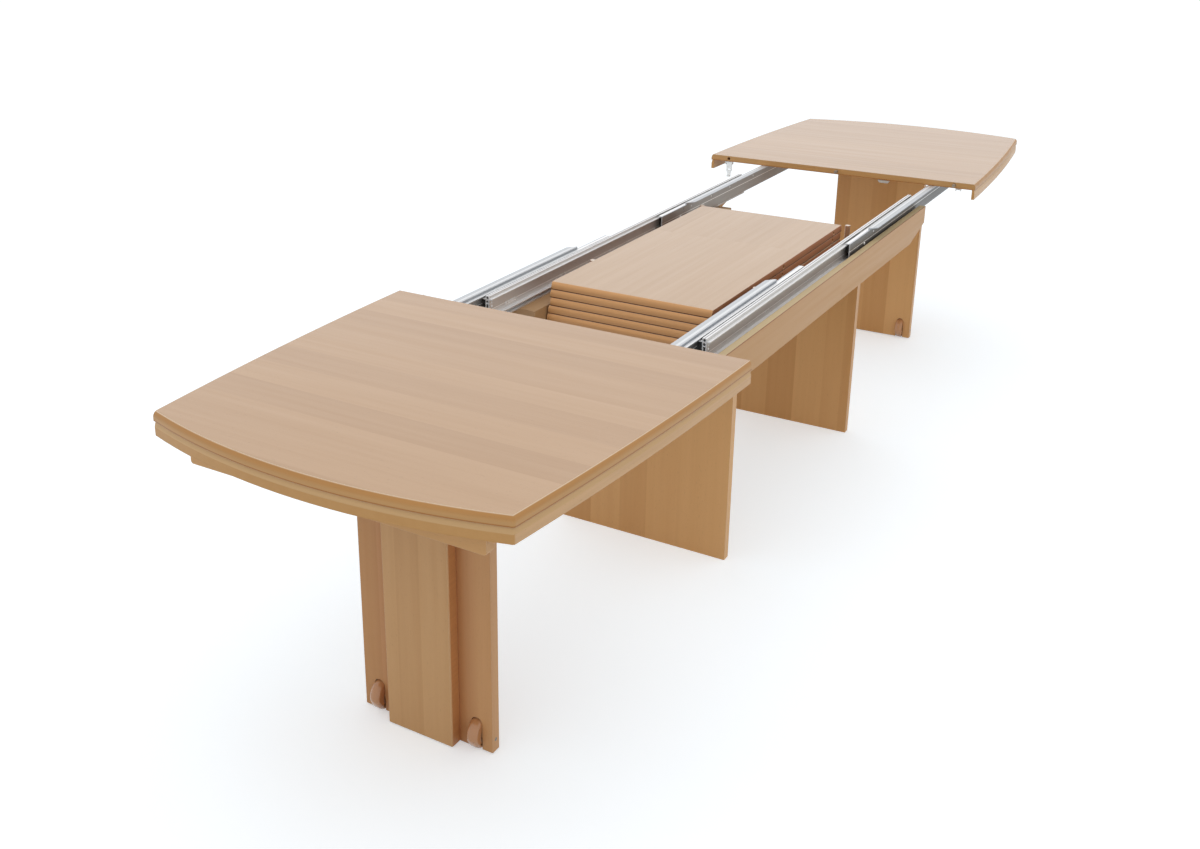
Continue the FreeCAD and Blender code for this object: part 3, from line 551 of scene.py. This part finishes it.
def walls_and_strips(graph, spot, colour, sides, strips):
    """Walls below a height get painted shade by the way they face, and upper faces get strips of
    painted highlight and shade.
    """
    wall = graph.span(spot.lean[1], *WALL_LEAN)
    outward = graph.math("MULTIPLY", spot.at[1], spot.way[1])
    for top, way, stain_and_light in sides:
        below = graph.math("MULTIPLY", wall, graph.math("LESS_THAN", spot.at[2], top))
        chosen = graph.math("GREATER_THAN", graph.math("MULTIPLY", outward, way), 0.0)
        colour = graph.mix(graph.math("MULTIPLY", below, chosen), colour, stain_and_light)
    beside = graph.math("SUBTRACT", graph.math("ABSOLUTE", spot.at[1]), BEAM_Y)
    beside = graph.math("ABSOLUTE", beside)
    for middle, reach, stain_and_light in strips:
        away = graph.math("ABSOLUTE", graph.math("SUBTRACT", beside, middle))
        strip = graph.span(away, reach * STRIP_CORE, reach, 1.0, 0.0)
        strip = graph.math("MULTIPLY", strip, graph.span(spot.way[2], *FLAT_LEAN))
        colour = graph.mix(strip, colour, stain_and_light)
    return colour


def metal(name, colour, stretch, gloss, metallic, line=None, sides=(), strips=()):
    """Metal with fine lines or mottles, and the painted shade of walls, painted strips and
    pressed-line highlight it is given.
    """
    material, graph, shader = new_finish(name)
    spot = Spot(graph)
    drawn = graph.noise(spot.place, stretch, detail=3.0)
    height = drawn
    mixed = graph.mix(graph.span(drawn, *LINE_RANGE), darker(colour, DRAWN_SHADE), colour)
    mixed = walls_and_strips(graph, spot, mixed, sides, strips)
    # The pressed line is a small groove in the bump and a painted highlight in the colour.
    if line:
        away = graph.math("ABSOLUTE", graph.math("SUBTRACT", spot.at[2], line))
        groove_and_highlight = graph.span(away, *PRESSED_RANGE, 1.0, 0.0)
        mixed = graph.mix(groove_and_highlight, mixed, PRESSED_LINE_HIGHLIGHT)
        height = graph.math("SUBTRACT", drawn, groove_and_highlight)
    graph.feed(mixed, shader.inputs["Base Color"])
    graph.feed(graph.span(drawn, *LINE_RANGE, *gloss), shader.inputs["Roughness"])
    bump = graph.add("ShaderNodeBump", {"Height": height, **METAL_RELIEF})
    graph.feed(bump.outputs[0], shader.inputs["Normal"])
    shader.inputs["Metallic"].default_value = metallic
    return material


print("strips are counted from", BEAM_Y, "m beside the middle")

# %% [markdown]
# ## Aluminium and steel
# The beams are bright with a dark slit of painted shade along the top and walls painted dimmer as
# shade. The channels are bluer with broad strips of painted highlight, and walls painted as shade,
# brighter inside than outside. Screws, latches and keepers are zinc-plated steel with a mottled
# surface, and pins and axles are bare steel. They could be made as pure mirrors of the room, but the
# real ones are satin, so only a part of their light is mirrored.

# %% Aluminium and steel
DRAWN = (0.8, 420.0, 420.0)
MOTTLED = (160.0, 160.0, 160.0)
SATIN = (0.4, 0.52)
CHANNEL_LOW, CHANNEL_HIGH = box_of("far_left_channel")
WHOLE_HEIGHT = box_of("near_top")[1][2]
BEAM_LINE = BEAM_LOW[2] + 0.028
CHANNEL_LINE = CHANNEL_LOW[2] + 0.030
RISER_TOP = CHANNEL_HIGH[2] - 0.0025
HOOK_TOP = CHANNEL_HIGH[2] - 0.009
# Painted shade: the beam's upright walls are darker than its top.
BEAM_SIDES = ((WHOLE_HEIGHT, OUTER, tone(204, 201, 197)), (WHOLE_HEIGHT, INNER, tone(204, 201, 197)))
# Painted shade in the slit along the middle, and a painted highlight along the flange's edge.
BEAM_STRIPS = ((0.0, 0.0011, tone(96, 92, 92)), (0.0172, 0.0014, tone(252, 252, 252)))
# Painted shade: the channels' risers and walls, darker outside than inside.
CHANNEL_SIDES = (
    (RISER_TOP, OUTER, tone(140, 145, 152)), (HOOK_TOP, OUTER, tone(118, 116, 114)),
    (RISER_TOP, INNER, tone(150, 154, 158)), (HOOK_TOP, INNER, tone(164, 160, 155)),
)
# Painted highlights: pale strips along the channels' tops.
CHANNEL_STRIPS = ((0.0155, 0.006, tone(248, 248, 249)), (0.0275, 0.004, tone(228, 230, 232)))
metals = {
    "aluminium_beam": metal("aluminium_beam", tone(244, 244, 245), DRAWN, SATIN, metallic=0.65,
                            line=BEAM_LINE, sides=BEAM_SIDES, strips=BEAM_STRIPS),
    "aluminium_channel": metal("aluminium_channel", tone(208, 211, 215), DRAWN, SATIN, metallic=0.65,
                               line=CHANNEL_LINE, sides=CHANNEL_SIDES, strips=CHANNEL_STRIPS),
    "zinc_steel": metal("zinc_steel", tone(240, 241, 240), MOTTLED, (0.24, 0.4), metallic=0.6),
    "pin_steel": metal("pin_steel", tone(176, 164, 148), MOTTLED, (0.3, 0.45), metallic=0.6),
    "axle_steel": metal("axle_steel", tone(132, 124, 114), MOTTLED, (0.3, 0.45), metallic=0.6),
}
print("metals", len(metals))

# %% [markdown]
# ## Plastics
# The runners inside the slides are dark, matt nylon, and the small buffer is white. Moulded plastic
# has an even colour with a fine skin. A plain colour would look like paint, so a fine noise breaks up
# its tone, its gloss and its surface a little.

# %% Plastics
SKIN_STRETCH = (420.0, 420.0, 420.0)
SKIN_SHADE = 0.85
SKIN_RELIEF = {"Strength": 0.15, "Distance": 0.0002}


def plastic(name, colour, gloss):
    """Moulded plastic with a fine skin."""
    material, graph, shader = new_finish(name)
    skin = graph.noise(Spot(graph).place, SKIN_STRETCH, detail=3.0)
    graph.feed(graph.mix(skin, colour, darker(colour, SKIN_SHADE)), shader.inputs["Base Color"])
    graph.feed(graph.span(skin, *LINE_RANGE, *gloss), shader.inputs["Roughness"])
    bump = graph.add("ShaderNodeBump", {"Height": skin, **SKIN_RELIEF})
    graph.feed(bump.outputs[0], shader.inputs["Normal"])
    return material


plastics = {
    "dark_nylon": plastic("dark_nylon", tone(38, 37, 36), (0.42, 0.6)),
    "white_plastic": plastic("white_plastic", tone(236, 234, 228), (0.35, 0.5)),
}
print("plastics", len(plastics))

# %% [markdown]
# ## Giving each piece its finish
# The table has many pieces of few kinds. Each could be dressed by hand, but a piece's name ends in
# what it is, so one table of endings dresses the whole frame. Where two endings fit, the longer one
# counts: the far leg's panel shows its inner face, whose planks look like those of the centre panels.

# %% Dress the frame
ENDINGS = {
    "_top": "beech_top", "_lip": "beech_edge", "_cross_rail": "beech_cross",
    "_leg_panel": "beech_leg", "far_leg_panel": "beech_panel", "_leg_pilaster": "beech_pilaster",
    "_frame_panel": "beech_panel", "_bearer": "beech_bearer", "storage_shelf": "beech_bearer",
    "_rail": "beech_rail", "_peg": "beech_peg", "_roller": "beech_roller", "_axle": "axle_steel",
    "_beam": "aluminium_beam", "_channel": "aluminium_channel", "_shoe": "dark_nylon",
    "_guide": "dark_nylon", "_buffer": "white_plastic", "_pin": "pin_steel",
    "_latch": "zinc_steel", "_latch_bracket": "zinc_steel", "_keeper": "zinc_steel",
}
LEAF_NAME = "leaf_"
finishes = woods | metals | plastics


def finish_of(name):
    """The finish for a piece of the frame, by its name."""
    if name.startswith(LEAF_NAME):
        return finishes["beech_leaf"]
    return finishes[ENDINGS[max((end for end in ENDINGS if name.endswith(end)), key=len)]]


for name, node in nodes.items():
    for place in node.material_slots:
        place.material = finish_of(name)
    if not node.material_slots:
        node.data.materials.append(finish_of(name))
print("dressed", len(nodes))

# %% [markdown]
# ## Screw head
# Small round-headed screws with a cross recess hold the slides together. A head could be turned from
# a drawn profile, but a flattened ball with two bars cut out of it is the same shape in fewer steps.
# It is made of nodes, so that its sizes stay named inputs.

# %% Screw head
HEAD_SEGMENTS = 18
HEAD_RINGS = 10
RECESS_LENGTH = 0.56
RECESS_WIDTH = 0.13


def screw_head(graph, wide, tall):
    """A dome with a cross cut into it, from sockets for its diameter and height."""
    round_form = {"Segments": HEAD_SEGMENTS, "Rings": HEAD_RINGS, "Radius": 1.0}
    ball = graph.add("GeometryNodeMeshUVSphere", round_form).outputs["Mesh"]
    reach = graph.math("MULTIPLY", wide, 0.5)
    girth = graph.add("ShaderNodeCombineXYZ", {0: reach, 1: reach, 2: tall}).outputs[0]
    dome = graph.add("GeometryNodeTransform", {"Geometry": ball, "Scale": girth}).outputs[0]
    cut = graph.add("GeometryNodeMeshBoolean", {"Mesh 1": dome}, operation="DIFFERENCE")
    length = graph.math("MULTIPLY", wide, RECESS_LENGTH)
    width = graph.math("MULTIPLY", wide, RECESS_WIDTH)
    lift = graph.add("ShaderNodeCombineXYZ", {2: tall}).outputs[0]
    for first, second in ((length, width), (width, length)):
        size = graph.add("ShaderNodeCombineXYZ", {0: first, 1: second, 2: tall}).outputs[0]
        bar = graph.add("GeometryNodeMeshCube", {"Size": size}).outputs["Mesh"]
        moved = graph.add("GeometryNodeTransform", {"Geometry": bar, "Translation": lift})
        graph.feed(moved.outputs[0], cut.inputs["Mesh 2"])
    return cut.outputs["Mesh"]


print("recess", RECESS_LENGTH, "of the head's width")

# %% [markdown]
# ## Screws on points
# The heads repeat along the metal, driven in by hand, so no two crosses stand alike. Copies could be
# placed and turned one by one, but a node tree sets one head on every marked point, facing the way
# that the point says and turned by chance with a fixed seed. Instances are made real and the result
# becomes a plain mesh, one for each body that carries screws, because a plain mesh goes anywhere.

# %% Screws on points
SCREW_INPUTS = (("Points", "Geometry"), ("Head Diameter", "Float"), ("Head Height", "Float"),
                ("Seed", "Int"), ("Finish", "Material"))
UPRIGHT = (0.0, 0.0, 1.0)


def screw_tree():
    """Tree that puts a cross-slotted head on each point, along its facing direction."""
    tree = bpy.data.node_groups.new("cross_screws", "GeometryNodeTree")
    for label, kind in SCREW_INPUTS:
        tree.interface.new_socket(label, in_out="INPUT", socket_type="NodeSocket" + kind)
    tree.interface.new_socket("Heads", in_out="OUTPUT", socket_type="NodeSocketGeometry")
    graph = Graph(tree)
    given = graph.add("NodeGroupInput").outputs
    head = screw_head(graph, given["Head Diameter"], given["Head Height"])
    facing = graph.add("GeometryNodeInputNamedAttribute", {"Name": "facing"},
                       data_type="FLOAT_VECTOR").outputs[0]
    aim = graph.add("FunctionNodeAlignRotationToVector", {"Vector": facing}, axis="Z").outputs[0]
    chance = graph.add("FunctionNodeRandomValue", {"Seed": given["Seed"]}, data_type="FLOAT")
    angle = graph.math("MULTIPLY", chance.outputs[1], math.pi)
    twist = graph.add("FunctionNodeAxisAngleToRotation", {"Axis": UPRIGHT, "Angle": angle}).outputs[0]
    driven = graph.add("FunctionNodeRotateRotation", {0: aim, 1: twist}, rotation_space="LOCAL")
    heads = graph.add("GeometryNodeInstanceOnPoints", {
        "Points": given["Points"], "Instance": head, "Rotation": driven.outputs[0]}).outputs[0]
    real = graph.add("GeometryNodeRealizeInstances", {0: heads}).outputs[0]
    painted = graph.add("GeometryNodeSetMaterial", {"Geometry": real, "Material": given["Finish"]})
    graph.add("NodeGroupOutput", {"Heads": painted.outputs[0]})
    return tree


SCREWS = screw_tree()
print("screw tree", len(SCREWS.nodes), "nodes")

# %% [markdown]
# ## Driving the screws
# A list of places becomes a mesh of bare points that carry their direction, and the tree is run on
# it. Its inputs are set by their identifiers before anything is evaluated. The points could be drawn
# by hand, but numbers read from the picture keep the screws where they are on the real slides.


# %% Driving the screws
def set_screws(name, body, spots, head, seed):
    """One mesh of screws for a body; each spot is a point and the direction it faces."""
    mesh = bpy.data.meshes.new(name + "_points")
    mesh.from_pydata([point for point, _ in spots], [], [])
    facing = mesh.attributes.new("facing", "FLOAT_VECTOR", "POINT")
    facing.data.foreach_set("vector", [value for _, way in spots for value in way])
    piece = bpy.data.objects.new(name, mesh)
    scene.collection.objects.link(piece)
    modifier = piece.modifiers.new("screws", "NODES")
    modifier.node_group = SCREWS
    diameter, height = head
    values = {"Head Diameter": diameter, "Head Height": height, "Seed": seed,
              "Finish": metals["zinc_steel"]}
    for item in SCREWS.interface.items_tree:
        if item.name in values and item.in_out == "INPUT":
            modifier[item.identifier] = values[item.name]
    shaped = piece.evaluated_get(bpy.context.evaluated_depsgraph_get())
    piece.data = bpy.data.meshes.new_from_object(shaped)
    piece.data.name = name
    piece.modifiers.clear()
    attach(piece, body)
    print(name, len(spots), "screws", len(piece.data.polygons), "faces")


# %% [markdown]
# ## Screw places on a half
# The channels carry a row of small heads close under their top, a larger one holds each runner, and
# others point down from the flanges, the latch plates and the keepers. Their places could be typed as
# they lie in the room, but counted from the ends and faces of the pieces that they hold, they follow
# the frame.

# %% Screw places on a half
WALL_INSET = 0.0139
WALL_DROP = 0.019
WALL_ROW = (0.209, 0.360, 0.510, 0.710, 0.910, 1.110, 1.310, 1.510)
RUNNER_INSET = 0.011
RUNNER_RISE = 0.003
FLANGE_ROW = (0.855, 1.095, 1.275, 1.525)
FLANGE_SETBACK = 0.009
FLANGE_DROP = 0.0036
PLATE_REACH = (0.0135, 0.0125)
PLATE_DROP = 0.0025
KEEPER_INSET = 0.011
SIDEWAYS = (0.0, -1.0, 0.0)
DOWNWARD = (0.0, 0.0, -1.0)


def middle_of(name):
    """Middle of a piece of the frame."""
    return [round((low + high) / 2, DECIMALS) for low, high in zip(*box_of(name))]


channel_end, _, _ = CHANNEL_LOW
_, _, channel_top = CHANNEL_HIGH
shoe_low, shoe_high = box_of("far_left_shoe")
latch_x, latch_y, _ = middle_of("far_latch_bracket")
keeper_y = middle_of("far_keeper")[1]
keeper_x = box_of("far_keeper")[1][0] - KEEPER_INSET
along, aside = PLATE_REACH
walls = [box_of(f"far_{hand}_channel")[1][1] - WALL_INSET for hand in ("left", "right")]
wall_spots = [((channel_end + x, y, channel_top - WALL_DROP), SIDEWAYS)
              for y in walls for x in WALL_ROW]
runner_spots = [((shoe_high[0] - RUNNER_INSET, y, shoe_low[2] + RUNNER_RISE), SIDEWAYS) for y in walls]
flange_spots = [((channel_end + x, y - FLANGE_SETBACK, channel_top - FLANGE_DROP), DOWNWARD)
                for y in walls for x in FLANGE_ROW]
latch_spots = [((latch_x + x, latch_y + y, channel_top - PLATE_DROP), DOWNWARD)
               for x in (-along, along) for y in (-aside, aside)]
latch_spots += [((keeper_x, keeper_y + y, channel_top - PLATE_DROP), DOWNWARD)
                for y in (-aside, aside)]
print("places", len(wall_spots + runner_spots + flange_spots + latch_spots))

# %% [markdown]
# ## Screws on both halves
# The near half is the far half turned half round. Two lists of places could be kept, but one list
# that is turned for the near half can't fall out of step. Each kind of screw has its own size of head.

# %% Screws on both halves
SLIDE_HEAD = (0.0060, 0.0014)
RUNNER_HEAD = (0.0095, 0.0024)
MOUNT_HEAD = (0.0080, 0.0022)
LATCH_HEAD = (0.0050, 0.0014)


def half_turned(spots, sign):
    """The same spots on the far half, or on the near half for a sign of -1."""
    return [((sign * x, sign * y, z), (sign * a, sign * b, c)) for (x, y, z), (a, b, c) in spots]


for side, sign in (("far", 1), ("near", -1)):
    body = f"{side}_half"
    set_screws(f"{side}_slide_screws", body, half_turned(wall_spots, sign), SLIDE_HEAD, seed=3)
    set_screws(f"{side}_runner_screws", body, half_turned(runner_spots, sign), RUNNER_HEAD, seed=4)
    set_screws(f"{side}_mount_screws", body, half_turned(flange_spots, sign), MOUNT_HEAD, seed=5)
    set_screws(f"{side}_latch_screws", body, half_turned(latch_spots, sign), LATCH_HEAD, seed=6)

# %% [markdown]
# ## Screws on the beams
# Pairs of small heads sit low on both sides of each beam, at even distances, and two more close the
# near end of a side. They could be part of the lists above, but the beams belong to the centre frame,
# so they get a mesh of their own that stays with it.

# %% Screws on the beams
PAIR_FIRST = 0.349
PAIR_SPACING = 0.281
PAIR_COUNT = 5
PAIR_STEP = 0.022
PAIR_RISE = 0.0265
END_INSET = 0.012
END_DROPS = (0.019, 0.028)
COLUMN_HALF = 0.0055
BEAM_HEAD = (0.0052, 0.0013)
beam_faces = [(hand * BEAM_Y + way * COLUMN_HALF, way) for hand in (1, -1) for way in (-1.0, 1.0)]
beam_spots = []
for across, way in beam_faces:
    for pair in range(PAIR_COUNT):
        start = BEAM_LOW[0] + PAIR_FIRST + PAIR_SPACING * pair
        for x in (start, start + PAIR_STEP):
            beam_spots.append(((x, across, BEAM_LOW[2] + PAIR_RISE), (0.0, way, 0.0)))
for across, way in beam_faces[0::2]:
    for drop in END_DROPS:
        beam_spots.append(((BEAM_LOW[0] + END_INSET, across, BEAM_HIGH[2] - drop), (0.0, way, 0.0)))
set_screws("beam_screws", "centre_frame", beam_spots, BEAM_HEAD, seed=7)

# %% [markdown]
# ## Section of a roller hood
# On the table the rollers fill their slots up to the arch. The frame's rollers are smaller, so a
# turned wooden hood lies around each of them: a crescent that is thick above and runs out near the
# floor, with thin cheeks beside the roller. It could be cut from a ring, but a section that is
# computed for each angle around the axle gives its crowned tread directly. A small gap to the roller
# lets that turn freely.

# %% Section of a roller hood
AXLE_HEIGHT = middle_of("far_left_roller")[2]
TREAD_HALF = 0.012
TREAD_ROUND = 0.007
HOOD_GAP = 0.0008
HOOD_HALF = 0.0131
HOOD_CROWN = 0.0075
CHEEK_BACK = 0.0126
CHEEK_RADIUS = 0.014
RIM_RADIUS = 0.0368
RIM_RISE = 0.0066
HOOD_REACH = math.radians(126.0)
HOOD_FADE = math.radians(40.0)
HOOD_LEAST = 0.1
HOOD_POINTS = 14


def around_axle(angle, radius, across):
    """A point at a radius and an angle from upright around the axle."""
    return (radius * math.sin(angle), across, AXLE_HEIGHT + radius * math.cos(angle))


def hood_section(angle):
    """Points of one ring: across the crowned outside and back along the inside."""
    rim = math.sqrt(RIM_RADIUS ** 2 - (RIM_RISE * math.sin(angle)) ** 2)
    rim = RIM_RISE * math.cos(angle) + rim
    fade = max(HOOD_LEAST, min(1.0, (HOOD_REACH - abs(angle)) / HOOD_FADE))
    outside, inside = [], []
    for step in range(HOOD_POINTS + 1):
        share = -math.cos(math.pi * step / HOOD_POINTS)
        beyond = abs(share) * CHEEK_BACK - TREAD_HALF + TREAD_ROUND
        beyond = min(TREAD_ROUND, max(0.0, beyond))
        inner = math.sqrt(TREAD_ROUND ** 2 - beyond ** 2)
        inner = AXLE_HEIGHT + HOOD_GAP - TREAD_ROUND + inner
        crown = HOOD_CROWN * (1.0 - math.sqrt(1.0 - share ** 2))
        outer = inner + (rim - crown - inner) * fade
        if step in (0, HOOD_POINTS):
            inner = CHEEK_RADIUS
        outside.append(around_axle(angle, outer, share * HOOD_HALF))
        inside.append(around_axle(angle, inner, share * CHEEK_BACK))
    return outside + inside[::-1]


crest = max(z for x, y, z in hood_section(0.0))
print("a hood rises to", round(crest * 1000, 1), "mm")

# %% [markdown]
# ## Roller hoods
# Each hood is a row of sections joined by faces and closed at both ends. A sweep along a curve would
# keep one section, and here it changes with the angle, so the rings are joined by hand. The tread is
# shaded smooth, and the cheeks and ends stay flat, as turned wood with crisp edges does.

# %% Roller hoods
HOOD_RINGS = 36


def add_hood(mesh, middle):
    """Joins the rings of one hood to a closed crescent over the roller's middle."""
    middle_x, middle_y, _ = middle
    rings = []
    for step in range(HOOD_RINGS + 1):
        section = hood_section(HOOD_REACH * (2.0 * step / HOOD_RINGS - 1.0))
        rings.append([mesh.verts.new((middle_x + x, middle_y + y, z)) for x, y, z in section])
    count = len(rings[0])
    for first, second in zip(rings, rings[1:]):
        for index in range(count):
            after = (index + 1) % count
            face = mesh.faces.new((first[index], first[after], second[after], second[index]))
            face.smooth = index < HOOD_POINTS
    for ring in (rings[0], rings[-1]):
        for index in range(HOOD_POINTS):
            back = count - 1 - index
            mesh.faces.new((ring[index], ring[index + 1], ring[back - 1], ring[back]))


def fitted(mesh, name, body, finish):
    """Makes an object of the built mesh and hands it to a body."""
    bmesh.ops.recalc_face_normals(mesh, faces=mesh.faces[:])
    data = bpy.data.meshes.new(name)
    mesh.to_mesh(data)
    mesh.free()
    data.materials.append(finish)
    piece = bpy.data.objects.new(name, data)
    scene.collection.objects.link(piece)
    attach(piece, body)
    print(name, len(data.polygons), "faces")


for side in ("far", "near"):
    mesh = bmesh.new()
    for hand in ("left", "right"):
        add_hood(mesh, middle_of(f"{side}_{hand}_roller"))
    fitted(mesh, f"{side}_roller_hoods", f"{side}_half", woods["beech_roller"])

# %% [markdown]
# ## Clip
# Near the end of the left beam sits a short toothed clip of thin steel. Its teeth could be copies of
# one tooth, but such a clip is pressed from sheet in one piece, so one toothed outline is drawn in a
# plane and given the depth of the sheet.

# %% Clip
CLIP_START = BEAM_LOW[0] + 0.074
CLIP_LOW = BEAM_LOW[2] + 0.022
CLIP_ROOT = BEAM_LOW[2] + 0.026
CLIP_TIP = BEAM_LOW[2] + 0.0294
CLIP_TOOTH = 0.0051
CLIP_TEETH = 10
CLIP_DEPTH = 0.0018
TOOTH_OUTLINE = ((0.0, CLIP_ROOT), (0.2, CLIP_TIP), (0.7, CLIP_TIP), (0.8, CLIP_ROOT))
CLIP_END = CLIP_START + CLIP_TOOTH * CLIP_TEETH
clip = [(CLIP_END, CLIP_LOW), (CLIP_START, CLIP_LOW)]
for tooth in range(CLIP_TEETH):
    start = CLIP_START + CLIP_TOOTH * tooth
    clip += [(start + CLIP_TOOTH * share, height) for share, height in TOOTH_OUTLINE]
clip.append((CLIP_END, CLIP_ROOT))
mesh = bmesh.new()
outline = [mesh.verts.new((x, BEAM_Y - COLUMN_HALF, z)) for x, z in clip]
grown = bmesh.ops.extrude_face_region(mesh, geom=[mesh.faces.new(outline)])["geom"]
back = [item for item in grown if isinstance(item, bmesh.types.BMVert)]
bmesh.ops.translate(mesh, verts=back, vec=(0.0, -CLIP_DEPTH, 0.0))
fitted(mesh, "beam_clip", "centre_frame", metals["zinc_steel"])

# %% [markdown]
# ## Finish
# The dressed table has to stay as large as the bare one, because it is used by its sizes.

# %% Finish
print("dressing done")
